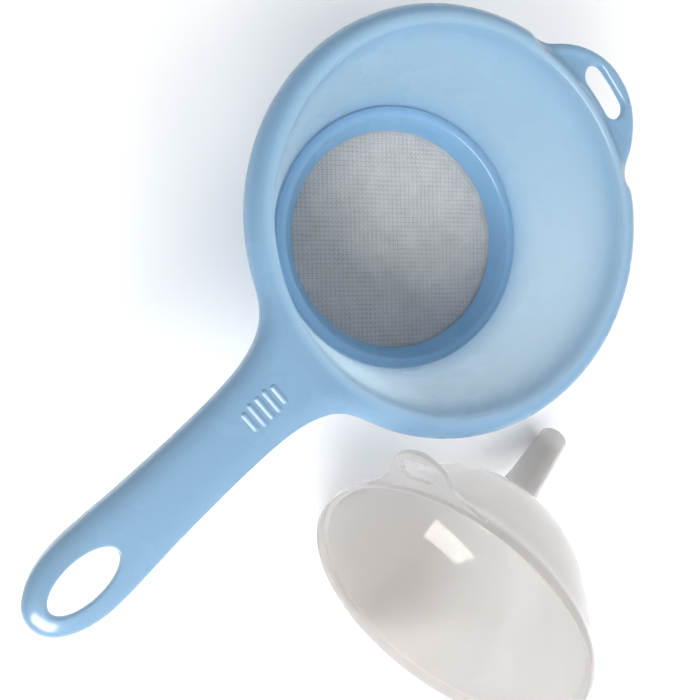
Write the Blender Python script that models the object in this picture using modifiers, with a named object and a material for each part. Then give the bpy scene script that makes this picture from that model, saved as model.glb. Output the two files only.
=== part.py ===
"""Double sieve strainer: a handled strainer bowl, the sieve unit that lifts out of it, and its small funnel.

The strainer stands on its neck and the funnel lies on its side, both on the plane z = 0.
Dimensions below are in millimetres and are turned into metres by MM.
"""

import math

import bmesh
import bpy
import numpy as np
from mathutils import Matrix, Vector

MM = 0.001
SEGMENTS = 72
OBJECT_NAME = "double_sieve_strainer"

# Centre lines of the strainer (upright) on the ground plane
STRAINER_X = 44.95
STRAINER_Y = 45.66

# Strainer bowl
CREST_RADIUS = 67.5

# Handle: a channel section that rises away from the rim
HANDLE_RISE = 0.14
HANDLE_OUTER_STEPS = ((0.0, -9.0), (0.0, -4.6), (0.5, -2.6), (1.7, -1.1), (3.3, -0.3), (5.2, 0.0))
HANDLE_INNER_STEPS = ((2.2, -14.0), (2.2, -5.4), (2.9, -3.9), (4.2, -2.7), (6.0, -2.3))
HANDLE_TOP_AT_RIM = 72.6
HANDLE_HALF_WIDTHS = (
    (54.0, 46.0), (62.0, 37.0), (66.0, 32.0), (70.0, 26.0), (74.0, 21.0), (78.0, 17.8), (83.0, 15.4),
    (89.0, 13.6), (97.0, 12.5), (110.0, 12.0), (130.0, 12.0), (146.0, 12.5), (158.0, 12.9), (166.0, 12.2),
    (172.0, 10.2), (176.0, 7.8), (178.6, 5.0), (179.8, 2.0),
)  # fmt: skip
HANG_HOLE_X = 161.8
HANG_HOLE_HALF = (11.4, 5.9)
GRIP_RIB_X = (86.6, 89.7, 92.8, 95.9, 99.0)
GRIP_RIB_LENGTHS = (7.4, 9.0, 9.0, 9.0, 7.4)
GRIP_RIB_WIDTH = 1.5
GRIP_RIB_HEIGHT = 0.7

# Hook ear opposite the handle
EAR_TOP = 66.4
EAR_THICKNESS = 2.4
EAR_OUTLINE = (
    (60.0, 37.0), (66.0, 32.0), (70.0, 28.2), (75.0, 23.8), (80.0, 19.2), (84.0, 15.0), (87.2, 10.6),
    (89.2, 5.6), (89.9, 0.0),
)  # fmt: skip
EAR_BEAD_WIDTH = 2.0
EAR_BEAD_HEIGHT = 1.0
EAR_SLOT_RADIUS = 80.8
EAR_SLOT_HALF_LENGTH = 11.2
EAR_SLOT_HALF_WIDTH = 4.6

# Sieve unit
MESH_RADIUS = 46.3
FINE_MESH_TOP = 11.1
FINE_MESH_THICKNESS = 0.4
COARSE_MESH_TOP = 10.4
COARSE_MESH_THICKNESS = 0.8

# Funnel
FUNNEL_X = -45.65
FUNNEL_Y = -62.84
FUNNEL_HEADING = -8.2
FUNNEL_LENGTH = 108.5
SPOUT_TIP_RADIUS = 6.6
FUNNEL_EAR_ANGLE = 24.5
FUNNEL_EAR_REACH = 74.0
FUNNEL_EAR_HALF_WIDTH = 11.5
FUNNEL_EAR_SLOT = (66.3, 7.0, 3.9)

# Closed outlines are (radius, height), down the outside and up the inside.
BOWL_OUTLINE = (
    (67.5, 72.0), (70.4, 71.4), (72.8, 70.0), (74.4, 67.8), (75.0, 65.0), (74.9, 64.2), (74.2, 63.8),
    (73.2, 64.1), (72.7, 66.6), (71.4, 68.3), (70.0, 68.9), (68.5, 68.5), (67.5, 66.8),
    (57.5, 25.2), (56.6, 21.0), (55.8, 17.0), (54.8, 15.3), (53.0, 14.9), (51.9, 14.2), (51.7, 13.0),
    (51.3, 0.5), (50.8, 0.0), (49.2, 0.0), (49.6, 16.6), (50.0, 17.0), (53.5, 17.0), (53.9, 17.6),
    (54.4, 21.4), (55.0, 23.8), (60.6, 46.6), (66.1, 69.6), (66.5, 71.2),
)  # fmt: skip
BOWL_INTERIOR = (
    (0.0, 90.0), (68.0, 90.0), (66.9, 71.6), (66.1, 69.6), (60.6, 46.6), (55.0, 23.8), (0.0, 23.8),
)  # fmt: skip
SIEVE_FRAME_OUTLINE = (
    (50.8, 19.9), (52.0, 19.6), (52.8, 18.8), (53.0, 17.3), (49.3, 17.3), (48.3, 8.3), (47.9, 7.9),
    (46.7, 7.9), (46.7, 11.4), (44.9, 11.4), (44.9, 11.9), (46.2, 13.6), (47.6, 16.2), (48.8, 18.6),
    (49.7, 19.6),
)  # fmt: skip
RETAINER_OUTLINE = ((46.3, 9.3), (46.3, 7.9), (44.7, 7.9), (44.7, 9.3))  # fmt: skip

# The funnel's outlines run along its own axis, from the mouth at 0 towards the tip of the spout.
FUNNEL_OUTSIDE = (
    (57.3, 0.0), (57.8, 0.7), (57.8, 4.0), (56.2, 4.7), (55.6, 6.5), (53.4, 12.5), (48.9, 22.0),
    (43.6, 32.0), (39.8, 37.5), (35.4, 42.4), (29.8, 46.8), (23.0, 50.2), (16.6, 52.2), (12.6, 55.2),
    (9.9, 60.0), (8.5, 67.0), (7.5, 80.0), (6.6, 108.5),
)  # fmt: skip
FUNNEL_INSIDE = (
    (5.3, 108.5), (6.1, 80.0), (7.1, 67.0), (8.5, 59.3), (11.3, 54.2), (14.4, 50.8), (22.3, 48.7),
    (28.9, 45.4), (34.2, 41.2), (38.5, 36.4), (42.2, 31.2), (47.4, 21.5), (51.9, 12.1), (54.0, 6.0),
    (54.3, 3.8), (56.3, 3.4), (56.3, 0.6), (56.8, 0.0),
)  # fmt: skip

BLUE_PLASTIC = ("blue_plastic", (0.36, 0.60, 0.80, 1.0), 0.22, 0.0, 0.0)
CLEAR_PLASTIC = ("clear_plastic", (0.82, 0.80, 0.77, 1.0), 0.16, 0.0, 0.6)
STEEL_WIRE = ("steel_wire", (0.55, 0.56, 0.57, 1.0), 0.35, 1.0, 0.0)


def clear_scene():
    for obj in list(bpy.data.objects):
        bpy.data.objects.remove(obj)


def make_collection(name, parent):
    collection = bpy.data.collections.new(name)
    parent.children.link(collection)
    return collection


def make_material(name, color, roughness, metallic, transmission):
    """One Principled material for each named part."""
    material = bpy.data.materials.new(name)
    material.use_nodes = True
    material.diffuse_color = color
    shader = material.node_tree.nodes["Principled BSDF"]
    shader.inputs["Base Color"].default_value = color
    shader.inputs["Roughness"].default_value = roughness
    shader.inputs["Metallic"].default_value = metallic
    shader.inputs["Transmission Weight"].default_value = transmission
    return material


def link_mesh(name, bm, collection, smooth=True):
    """A new object that holds this bmesh, with its faces turned outward."""
    bmesh.ops.recalc_face_normals(bm, faces=bm.faces[:])
    mesh = bpy.data.meshes.new(name)
    bm.to_mesh(mesh)
    bm.free()
    if smooth:
        mesh.shade_smooth()
    obj = bpy.data.objects.new(name, mesh)
    collection.objects.link(obj)
    return obj


def lathe(name, outline, collection, segments=SEGMENTS):
    """A solid of revolution about Z from a closed (radius, height) outline in millimetres."""
    if signed_area(outline) > 0.0:
        outline = tuple(reversed(outline))
    bm = bmesh.new()
    verts = [bm.verts.new((radius * MM, 0.0, height * MM)) for radius, height in outline]
    for index, vert in enumerate(verts):
        bm.edges.new((vert, verts[(index + 1) % len(verts)]))
    mesh = bpy.data.meshes.new(name)
    bm.to_mesh(mesh)
    bm.free()
    obj = bpy.data.objects.new(name, mesh)
    collection.objects.link(obj)
    turn = obj.modifiers.new("Turn", "SCREW")
    turn.axis = "Z"
    turn.steps = segments
    turn.render_steps = segments
    turn.use_merge_vertices = True
    turn.merge_threshold = 0.00001
    turn.use_smooth_shade = True
    return obj


def lathe_on_axis(name, outline, collection, segments=SEGMENTS):
    """A solid of revolution whose open outline starts and ends on the axis."""
    obj = lathe(name, outline, collection, segments)
    bm = bmesh.new()
    bm.from_mesh(obj.data)
    on_axis = [vert for vert in bm.verts if vert.co.x < 1e-9]
    closing = [edge for edge in bm.edges if all(vert in on_axis for vert in edge.verts)]
    bmesh.ops.delete(bm, geom=closing, context="EDGES")
    bm.to_mesh(obj.data)
    bm.free()
    return obj


def prism(name, outline, low, high, collection):
    """A straight solid between two heights from a closed (x, y) outline in millimetres."""
    bm = bmesh.new()
    face = bm.faces.new([bm.verts.new((x * MM, y * MM, low * MM)) for x, y in outline])
    raised = bmesh.ops.extrude_face_region(bm, geom=[face])["geom"]
    moved = [item for item in raised if isinstance(item, bmesh.types.BMVert)]
    bmesh.ops.translate(bm, verts=moved, vec=(0.0, 0.0, (high - low) * MM))
    return link_mesh(name, bm, collection, smooth=False)


def boolean(obj, other, operation):
    modifier = obj.modifiers.new(operation.title(), "BOOLEAN")
    modifier.operation = operation
    modifier.solver = "EXACT"
    modifier.object = other


def ellipse(center_x, center_y, half_x, half_y, count=40):
    angles = [2.0 * math.pi * index / count for index in range(count)]
    return [(center_x + half_x * math.cos(a), center_y + half_y * math.sin(a)) for a in angles]


def capsule(center_x, center_y, half_x, half_y, steps=5):
    """A slot with round ends that lies along Y."""
    straight = half_y - half_x
    points = []
    for side in (1.0, -1.0):
        for index in range(steps + 1):
            angle = math.pi * index / steps + (0.0 if side > 0.0 else math.pi)
            y = side * straight + half_x * math.sin(angle)
            points.append((center_x + half_x * math.cos(angle), center_y + y))
    return points


def bent_slot(center_radius, half_length, half_width, steps=8):
    """A slot with round ends that follows a circle about the origin, centred on +X."""
    span = (half_length - half_width) / center_radius
    points = []
    for index in range(steps + 1):
        angle = -span + 2.0 * span * index / steps
        radius = center_radius + half_width
        points.append((radius * math.cos(angle), radius * math.sin(angle)))
    points += round_end(center_radius, half_width, span, 1.0)
    for index in range(steps + 1):
        angle = span - 2.0 * span * index / steps
        radius = center_radius - half_width
        points.append((radius * math.cos(angle), radius * math.sin(angle)))
    points += round_end(center_radius, half_width, -span, -1.0)
    return points


def round_end(center_radius, half_width, at_angle, side, steps=6):
    """The half circle that closes one end of a bent slot."""
    center = Vector((center_radius * math.cos(at_angle), center_radius * math.sin(at_angle)))
    points = []
    for index in range(1, steps):
        angle = math.pi * index / steps
        if side < 0.0:
            angle = math.pi - angle
        out = half_width * math.cos(angle)
        along = side * half_width * math.sin(angle)
        x = center.x + out * math.cos(at_angle) - along * math.sin(at_angle)
        y = center.y + out * math.sin(at_angle) + along * math.cos(at_angle)
        points.append((x, y))
    return points


def mirrored_outline(half):
    """A closed (x, y) outline from the half with y above zero, listed from its root to its tip."""
    upper = [(x, y) for x, y in half if y > 0.0]
    tip = [(x, y) for x, y in half if y == 0.0]
    return upper + tip + [(x, -y) for x, y in reversed(upper)]


def handle_top(distance):
    """Height of the handle's top face at a distance from the bowl's axis, in millimetres."""
    return HANDLE_TOP_AT_RIM + HANDLE_RISE * (distance - CREST_RADIUS)


def stepped_solid(name, outline, steps, collection):
    """A closed solid that follows an outline and steps inward by (inset, height) from its foot to its top."""
    bm = bmesh.new()
    rings = []
    for inset, height in steps:
        ring = []
        for x, y in inset_outline(outline, inset):
            ring.append(bm.verts.new((x * MM, y * MM, (handle_top(-x) + height) * MM)))
        rings.append(ring)
    for lower, upper in zip(rings, rings[1:]):
        for index, vert in enumerate(lower):
            after = (index + 1) % len(lower)
            bm.faces.new((vert, lower[after], upper[after], upper[index]))
    bm.faces.new(rings[0])
    bm.faces.new(rings[-1])
    return link_mesh(name, bm, collection)


def make_handle(collection):
    """The handle: a top face with rolled sides, hollow and open below."""
    outline = [(-x, y) for x, y in mirrored_outline(HANDLE_HALF_WIDTHS)]
    handle = stepped_solid("handle", outline, HANDLE_OUTER_STEPS, collection)
    channel = stepped_solid("handle_channel", outline, HANDLE_INNER_STEPS, collection)
    boolean(handle, channel, "DIFFERENCE")
    return handle


def make_grip_ribs(collection):
    """Short raised bars across the root of the handle."""
    ribs = []
    for index, (distance, length) in enumerate(zip(GRIP_RIB_X, GRIP_RIB_LENGTHS)):
        outline = capsule(-distance, 0.0, GRIP_RIB_WIDTH / 2.0, length / 2.0)
        top = handle_top(distance)
        name = f"grip_rib_{index + 1}"
        ribs.append(prism(name, outline, top - 1.0, top + GRIP_RIB_HEIGHT, collection))
    return ribs


def signed_area(outline):
    """Twice the area inside a closed outline, positive when it runs anticlockwise."""
    xs, ys = np.array(outline).T
    return float(np.sum(xs * np.roll(ys, -1) - np.roll(xs, -1) * ys))


def inset_outline(outline, distance):
    """The closed outline moved inward by a distance, point by point."""
    points = [Vector(point) for point in outline]
    if signed_area(outline) > 0.0:
        distance = -distance
    moved = []
    for index, point in enumerate(points):
        before = (point - points[index - 1]).normalized()
        after = (points[(index + 1) % len(points)] - point).normalized()
        along = (before + after).normalized()
        moved.append(tuple(point + Vector((along.y, -along.x)) * distance))
    return moved


def make_strainer(parts, cutters):
    """Bowl, neck, handle and hook ear: one moulding."""
    body = lathe("strainer_body", BOWL_OUTLINE, parts)
    interior = lathe_on_axis("bowl_interior", BOWL_INTERIOR, cutters)
    handle = make_handle(cutters)
    boolean(handle, interior, "DIFFERENCE")
    hole = ellipse(-HANG_HOLE_X, 0.0, *HANG_HOLE_HALF)
    boolean(handle, prism("hang_hole", hole, 60.0, 110.0, cutters), "DIFFERENCE")
    for rib in make_grip_ribs(cutters):
        boolean(handle, rib, "UNION")

    outline = mirrored_outline(EAR_OUTLINE)
    ear = prism("hook_ear", outline, EAR_TOP - EAR_THICKNESS, EAR_TOP, cutters)
    bead = prism("ear_bead", outline, EAR_TOP - 1.0, EAR_TOP + EAR_BEAD_HEIGHT, cutters)
    inside = inset_outline(outline, EAR_BEAD_WIDTH)
    boolean(bead, prism("inside_bead", inside, EAR_TOP - 5.0, EAR_TOP + 5.0, cutters), "DIFFERENCE")
    boolean(ear, bead, "UNION")
    slot = bent_slot(EAR_SLOT_RADIUS, EAR_SLOT_HALF_LENGTH, EAR_SLOT_HALF_WIDTH)
    boolean(ear, prism("ear_slot", slot, 50.0, 80.0, cutters), "DIFFERENCE")
    boolean(ear, interior, "DIFFERENCE")

    boolean(body, handle, "UNION")
    boolean(body, ear, "UNION")
    place_strainer_piece(body)
    for cutter in cutters.objects:
        if cutter.matrix_world.translation.length < 1e-9:
            place_strainer_piece(cutter)
    return body


def place_strainer_piece(obj):
    obj.location = (STRAINER_X * MM, STRAINER_Y * MM, 0.0)


def disc(name, radius, low, high, collection):
    """A flat round plate that stands for one layer of woven wire cloth."""
    outline = ellipse(0.0, 0.0, radius, radius, SEGMENTS)
    return prism(name, outline, low, high, collection)


def make_sieve_unit(parts):
    """The frame that lifts out of the bowl, its two mesh layers and the ring that holds them."""
    frame = lathe("sieve_frame", SIEVE_FRAME_OUTLINE, parts)
    fine_low = FINE_MESH_TOP - FINE_MESH_THICKNESS
    fine = disc("fine_mesh", MESH_RADIUS, fine_low, FINE_MESH_TOP, parts)
    coarse_low = COARSE_MESH_TOP - COARSE_MESH_THICKNESS
    coarse = disc("coarse_mesh", MESH_RADIUS, coarse_low, COARSE_MESH_TOP, parts)
    retainer = lathe("mesh_retainer", RETAINER_OUTLINE, parts)
    for obj in (frame, fine, coarse, retainer):
        place_strainer_piece(obj)
    return frame, fine, coarse, retainer


def funnel_rest():
    """Lean of the funnel's axis below the horizontal, and height of its mouth's centre, when it lies down."""
    lean = 0.0
    for radius, distance in FUNNEL_OUTSIDE[:-1]:
        slope = math.atan2(radius - SPOUT_TIP_RADIUS, FUNNEL_LENGTH - distance)
        lean = max(lean, slope)
    reach = [s * math.sin(lean) + r * math.cos(lean) for r, s in FUNNEL_OUTSIDE]
    return lean, max(reach)


def funnel_matrix():
    """Turns the funnel's own axes (+Z towards the spout, +Y up across the mouth) into the lying pose."""
    lean, height = funnel_rest()
    heading = math.radians(FUNNEL_HEADING)
    level = Vector((math.cos(heading), math.sin(heading), 0.0))
    spout = level * math.cos(lean) - Vector((0.0, 0.0, math.sin(lean)))
    across = Vector((0.0, 0.0, 1.0)).cross(spout).normalized()
    up = spout.cross(across)
    place = Matrix.Translation((FUNNEL_X * MM, FUNNEL_Y * MM, height * MM))
    return place @ Matrix((across, up, spout)).transposed().to_4x4()


def funnel_ear_outline():
    """Outline of the funnel's ear, pointing along +X of the mouth plane."""
    half = []
    for index in range(10):
        angle = math.radians(90.0 * index / 9.0)
        reach = FUNNEL_EAR_REACH - FUNNEL_EAR_HALF_WIDTH
        x = reach + FUNNEL_EAR_HALF_WIDTH * math.sin(angle)
        half.append((x, FUNNEL_EAR_HALF_WIDTH * math.cos(angle)))
    half[-1] = (FUNNEL_EAR_REACH, 0.0)
    root = [(51.0, 24.0), (54.5, 18.5), (58.0, 14.2)]
    return mirrored_outline(root + half)


def make_funnel(parts, cutters):
    """Funnel bowl, spout and ear: one moulding, modelled about its own axis."""
    funnel = lathe("funnel", FUNNEL_OUTSIDE + FUNNEL_INSIDE, parts)
    inside = [(0.0, -5.0), (57.0, -5.0), (57.0, 3.7), (55.0, 4.2), (54.6, 6.3), (52.7, 12.2), (0.0, 12.2)]
    mouth = lathe_on_axis("funnel_mouth", inside, cutters)

    turn = Matrix.Rotation(math.radians(FUNNEL_EAR_ANGLE), 4, "Z")
    ear = prism("funnel_ear", funnel_ear_outline(), 1.4, 3.4, cutters)
    slot = bent_slot(*FUNNEL_EAR_SLOT)
    slot_cutter = prism("funnel_ear_slot", slot, -10.0, 15.0, cutters)
    boolean(ear, slot_cutter, "DIFFERENCE")
    boolean(ear, mouth, "DIFFERENCE")
    boolean(funnel, ear, "UNION")

    pose = funnel_matrix()
    funnel.matrix_world = pose
    mouth.matrix_world = pose
    ear.matrix_world = pose @ turn
    slot_cutter.matrix_world = pose @ turn
    return funnel


def main():
    clear_scene()
    parts = make_collection(OBJECT_NAME, bpy.context.scene.collection)
    cutters = make_collection("cutters", bpy.context.scene.collection)

    body = make_strainer(parts, cutters)
    frame, fine, coarse, retainer = make_sieve_unit(parts)
    funnel = make_funnel(parts, cutters)

    for obj in (body, frame, retainer):
        name, *look = BLUE_PLASTIC
        obj.data.materials.append(make_material(f"{obj.name}_{name}", *look))
    for obj in (fine, coarse):
        name, *look = STEEL_WIRE
        obj.data.materials.append(make_material(f"{obj.name}_{name}", *look))
    name, *look = CLEAR_PLASTIC
    funnel.data.materials.append(make_material(f"{funnel.name}_{name}", *look))

    for cutter in cutters.objects:
        cutter.hide_render = True
        cutter.display_type = "WIRE"


main()
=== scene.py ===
"""Looks of the double sieve strainer and its funnel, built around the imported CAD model.

Lengths are in millimetres until they become mesh points, and heights are above the ground plane.
"""

import math

import bmesh
import bpy
import numpy as np
from mathutils import Euler, Matrix, Vector
from mathutils.geometry import delaunay_2d_cdt


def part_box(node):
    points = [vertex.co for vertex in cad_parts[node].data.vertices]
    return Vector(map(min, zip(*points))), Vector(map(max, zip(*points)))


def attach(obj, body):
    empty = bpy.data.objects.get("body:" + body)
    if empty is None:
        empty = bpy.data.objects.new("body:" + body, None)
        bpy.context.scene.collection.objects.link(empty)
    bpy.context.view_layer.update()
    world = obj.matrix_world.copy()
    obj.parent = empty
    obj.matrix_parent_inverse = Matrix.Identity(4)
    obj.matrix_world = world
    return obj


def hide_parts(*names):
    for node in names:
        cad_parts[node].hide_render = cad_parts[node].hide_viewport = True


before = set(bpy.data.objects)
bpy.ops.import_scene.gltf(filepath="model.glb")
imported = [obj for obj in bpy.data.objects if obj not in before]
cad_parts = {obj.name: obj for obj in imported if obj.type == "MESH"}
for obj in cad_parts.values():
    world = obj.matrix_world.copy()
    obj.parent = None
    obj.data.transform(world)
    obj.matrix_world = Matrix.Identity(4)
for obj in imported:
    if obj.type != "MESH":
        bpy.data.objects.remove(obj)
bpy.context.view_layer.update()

MM = 0.001
COLUMNS = 360

# Places, read from the CAD model
frame_low, frame_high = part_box("sieve_frame")
AXIS_X = (frame_low.x + frame_high.x) / 2.0
AXIS_Y = (frame_low.y + frame_high.y) / 2.0
funnel_low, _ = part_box("funnel")

# Strainer bowl, (radius, height) corners up the inside and up the outside, and the rounding of each between
BOWL_INSIDE = ((49.2, 0.8), (49.62, 17.0), (53.6, 17.0), (54.5, 21.6), (66.68, 72.0), (67.6, 72.0))
BOWL_OUTSIDE = ((51.2, 0.8), (51.7, 15.0), (55.3, 15.0), (56.5, 21.2), (68.75, 70.0), (69.4, 70.0))
BOWL_INSIDE_ROUNDING = (0.45, 0.5, 3.0, 1.0)
BOWL_OUTSIDE_ROUNDING = (1.0, 1.2, 3.0, 0.4)
BOWL_ARC_ROWS = (4, 4, 3, 7)
BOWL_LINE_ROWS = (8, 4, 4, 24, 1)
CREST_RADIUS = 67.5
CREST_HEIGHT = 72.0
WALL = 2.0

# Outer outline of rim, handle and hook ear: the half with y above zero, from the tip of the handle to the ear
HANDLE_HALF = (
    (-179.9, 0.0), (-179.4, 3.4), (-177.8, 6.2), (-174.8, 8.9), (-170.5, 11.1), (-165.0, 12.5),
    (-158.0, 12.9), (-150.0, 12.6), (-140.0, 12.15), (-130.0, 11.95), (-120.0, 11.9), (-110.0, 12.0),
    (-102.0, 12.3), (-95.0, 12.8), (-89.0, 13.7), (-83.5, 15.2), (-79.0, 17.2), (-75.5, 19.6),
    (-72.9, 22.6), (-70.6, 26.0),
)  # fmt: skip
EAR_HALF = (
    (70.3, 28.6), (72.2, 26.9), (74.8, 25.1), (78.0, 22.8), (81.4, 19.8), (84.6, 16.1), (87.2, 12.0),
    (89.0, 7.6), (89.8, 3.6), (89.9, 0.0),
)  # fmt: skip
RIM_RADIUS = 75.0
# Degrees from the ear's middle, between which the outline is the rim itself
RIM_FROM, RIM_TO, RIM_STEP = 25.5, 155.2, 2.0
OUTLINE_POINTS = 1000
OUTLINE_SMOOTHING = 2.2

# Rolled edge: (width, depth, skirt)
RIM_ROLL = (7.5, 7.0, 0.4)
HANDLE_ROLL = (8.0, 4.4, 3.8)
EAR_ROLL = (4.5, 0.8, 0.6)
# Handle: its rise for each millimetre outward, and where and how softly it leaves the rim
HANDLE_RISE = 0.14
HANDLE_FROM = 64.0
HANDLE_BLEND = 20.0
HANDLE_BEND = 8.0
LIFT_BLEND = 8.0
EAR_HEIGHT = 66.4
EAR_FOOT_HEIGHT = 65.0
EAR_THICKNESS = 2.4
# Bead along the ear's edge: (distance in from the outline, half width, height)
EAR_BEAD = (2.5, 2.5, 0.7)
EAR_EDGE_WIDTH = 0.9
EAR_FALL = 8.5
# Radius at which the ear's under side begins to be level, and over how much it becomes so
EAR_LEVEL = (73.0, 3.5)
# Degrees either side of the ear's middle at which each change begins, and over how many it fades in
EAR_EDGE_ANGLES = (24.5, 4.0)
EAR_CLIMB_ANGLES = (25.5, 10.0)
EAR_BLEND_ANGLES = (29.0, 6.0)

# Holes: (place along X, half length, half width), then what all their edges share
HANG_HOLE = (-161.8, 11.4, 5.9)
EAR_SLOT = (80.8, 11.2, 4.6)
HOLE_EDGE = 0.7
HOLE_SKIRT = 0.7
SKIRT_TUCK = 0.06
UNDER_BLEND = 6.0
EAR_TUCK = (0.8, 1.5)

# Grip ribs across the handle
RIB_X = (-86.6, -89.7, -92.8, -95.9, -99.0)
RIB_LENGTHS = (7.4, 9.0, 9.0, 9.0, 7.4)
RIB_HALF_WIDTH = 0.8
RIB_HEIGHT = 0.7
RIB_FIELD_MARGIN = 1.6
RIB_FIELD_HALF_WIDTH = 5.6

# Mesh points of the flange: rows along its edges, rings over the root of the ear, and grids elsewhere
EDGE_ROWS = 9
HOLE_ROWS = (0.06, 0.22, 0.48, 0.8, 1.15, 1.9)
EAR_RINGS = (70.6, 72.0, 73.0, 73.7, 74.2, 74.6, 74.9, 75.2, 75.6, 76.2, 77.0)
EAR_RING_SPAN = 25.0
EAR_RING_STEP = 0.6
GRID_STEP_X, GRID_STEP_Y = 1.5, 1.3
RIB_GRID_STEP = 0.27
EDGE_OFF_CREST, FILL_OFF_CREST = 0.6, 0.9
FILL_OFF_ROWS = 0.5
ROWS_APART = 0.35
HANG_HOLE_POINTS, EAR_SLOT_POINTS = 170, 150

# Sieve unit, closed (radius, height) outlines with the rounding of each corner
FRAME_OUTLINE = (
    (50.9, 19.95, 0.9), (52.9, 19.3, 0.8), (53.0, 17.3, 0.25), (49.3, 17.3, 0.3), (48.3, 7.9, 0.5),
    (46.7, 7.9, 0.2), (46.7, 11.4, 0.15), (44.9, 11.4, 0.2), (44.9, 12.0, 0.3), (47.7, 16.0, 2.0),
    (49.2, 19.8, 0.9),
)  # fmt: skip
RETAINER_OUTLINE = (
    (46.3, 9.3, 0.3), (46.3, 7.9, 0.3), (44.7, 7.9, 0.3), (44.7, 9.3, 0.3),
)  # fmt: skip
# Woven cloths: centre height, and turn in degrees
FINE_WEAVE = {"pitch": 0.86, "wire": 0.32, "height": 10.9, "radius": 46.2, "sides": 5, "turn": 24.0}
COARSE_WEAVE = {"pitch": 1.9, "wire": 0.34, "height": 10.0, "radius": 46.2, "sides": 5, "turn": 52.0}

# Funnel, (radius, distance from the mouth) along its own axis. The mouth's centre is measured from the
# lowest corner of its box, the heading and the downward lean of the spout are in degrees
FUNNEL_MOUTH = (26.25, 57.86, 53.66)
FUNNEL_HEADING = -8.2
FUNNEL_LEAN = 26.1026
FUNNEL_LENGTH = 108.5
FUNNEL_OUTSIDE = (
    (57.3, 0.0), (57.8, 0.7), (57.8, 4.0), (56.2, 4.7), (55.6, 6.5), (53.4, 12.5), (48.9, 22.0),
    (43.6, 32.0), (39.8, 37.5), (35.4, 42.4), (29.8, 46.8), (23.0, 50.2), (16.6, 52.2), (12.6, 55.2),
    (9.9, 60.0), (8.5, 67.0), (7.5, 80.0), (6.6, FUNNEL_LENGTH),
)  # fmt: skip
FUNNEL_INSIDE = (
    (56.8, 0.0), (56.3, 0.6), (56.3, 3.4), (54.3, 3.8), (54.0, 6.0), (51.9, 12.1), (47.4, 21.5),
    (42.2, 31.2), (38.5, 36.4), (34.2, 41.2), (28.9, 45.4), (22.3, 48.7), (15.4, 50.8), (10.8, 52.0),
    (9.6, 53.4), (8.5, 59.3), (7.1, 67.0), (6.1, 80.0), (5.3, FUNNEL_LENGTH),
)  # fmt: skip
# The funnel's ear: degrees round the axis, half outline from the rim outward, and the arc that closes it
FUNNEL_EAR_ANGLE = 24.5
FUNNEL_EAR = {"reach": 74.0, "half_width": 11.5, "low": 1.4, "high": 3.4}
FUNNEL_EAR_SLOT = (66.3, 7.0, 3.9)
FUNNEL_EAR_ROOT = ((52.7, 23.9), (54.9, 20.5), (57.6, 16.8), (60.1, 13.7))
FUNNEL_EAR_CLOSING = (56.6, 24.0)
FUNNEL_EAR_EDGE = 0.35
FUNNEL_EAR_SMOOTHING = 0.6
FUNNEL_EAR_POINTS, FUNNEL_SLOT_POINTS = 420, 130

# Linear colours. BLUE_STOPS and GLOW_STOPS (the share of light that comes through the wall) run with the
# distance from the bowl's axis, from 0 at WALL_NEAR metres to 1 at WALL_FAR
WALL_NEAR, WALL_FAR = 0.050, 0.075
# The darker blue out on the rim, handle and ear is painted shade.
PAINTED_SHADE_BLUE = (0.190, 0.365, 0.555)
THIN_BLUE = (0.280, 0.505, 0.720)
COLLAR_BLUE = (0.265, 0.495, 0.730)
BLUE_STOPS = ((0.15, COLLAR_BLUE), (0.26, THIN_BLUE), (0.66, THIN_BLUE), (0.82, PAINTED_SHADE_BLUE))
GLOW_STOPS = ((0.15, 0.46), (0.26, 0.70), (0.66, 0.70), (0.82, 0.36))
BLUE_CLOUD = ((0.3, (0.95, 0.95, 0.96)), (0.7, (1.0, 1.0, 1.0)))
BLUE_GLOW = (0.85, 0.945, 0.985)
CLEAR_CLOUD = ((0.3, (0.65, 0.632, 0.617)), (0.7, (0.69, 0.673, 0.66)))
CLEAR_GLOW, CLEAR_GLOW_SHARE = (0.83, 0.805, 0.79), 0.25
FINE_STEEL = ((0.61, 0.59, 0.57), (0.77, 0.75, 0.73))
COARSE_STEEL = ((0.55, 0.535, 0.52), (0.68, 0.665, 0.65))
FLOOR_CLOUD = ((0.3, (0.93, 0.93, 0.93)), (0.7, (0.96, 0.96, 0.96)))

# Studio, in metres, watts, degrees and, for the camera's lens and sensor, millimetres
FLOOR_HALF, FLOOR_TILES, FLOOR_HEIGHT = 3.0, 6, -0.0002
CAMERA_LENS, CAMERA_SENSOR = 37.59, 36.0
CAMERA_PLACE = (-0.06852, 0.10053, 0.29476)
CAMERA_TURN = (-2.7945, -19.8422, -40.0808)
SKY_COLOR = (0.95, 0.97, 1.0, 1.0)
CARD_SIDE = (0.2, 0.98, 0.0)
CARD_EDGE = {"From Min": 0.1, "From Max": 0.8, "To Min": 0.80, "To Max": 0.15}
OVERHEAD = {"place": (0.1, -1.0, 1.15), "aim": (0.0, 0.0, 0.0), "size": (1.2, 1.2)}
OVERHEAD_POWER = 11.0
WINDOW_AZIMUTH, WINDOW_ELEVATION, WINDOW_AWAY = -163.0, 42.0, 1.1
WINDOW_AIM, WINDOW_SIZE, WINDOW_COLOR = (0.0, 0.0, 0.05), (0.8, 0.5), (1.0, 0.97, 0.93)
WINDOW_POWER, GLINT_POWER = 9.0, 34.0


def smoothstep(value):
    """A smooth change from 0 to 1 as the value goes from 0 to 1."""
    value = np.clip(value, 0.0, 1.0)
    return value * value * (3.0 - 2.0 * value)


def fade_in(angle, limits):
    """0 at the first of the limits and beyond, and 1 once the angle is smaller by the second."""
    start, over = limits
    return smoothstep((start - angle) / over)


def quarter_drop(distance, width, depth):
    """Drop of a quarter-ellipse edge at a distance in from its outline."""
    share = np.clip(1.0 - distance / width, 0.0, 1.0)
    return depth * (1.0 - np.sqrt(1.0 - share * share))


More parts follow.
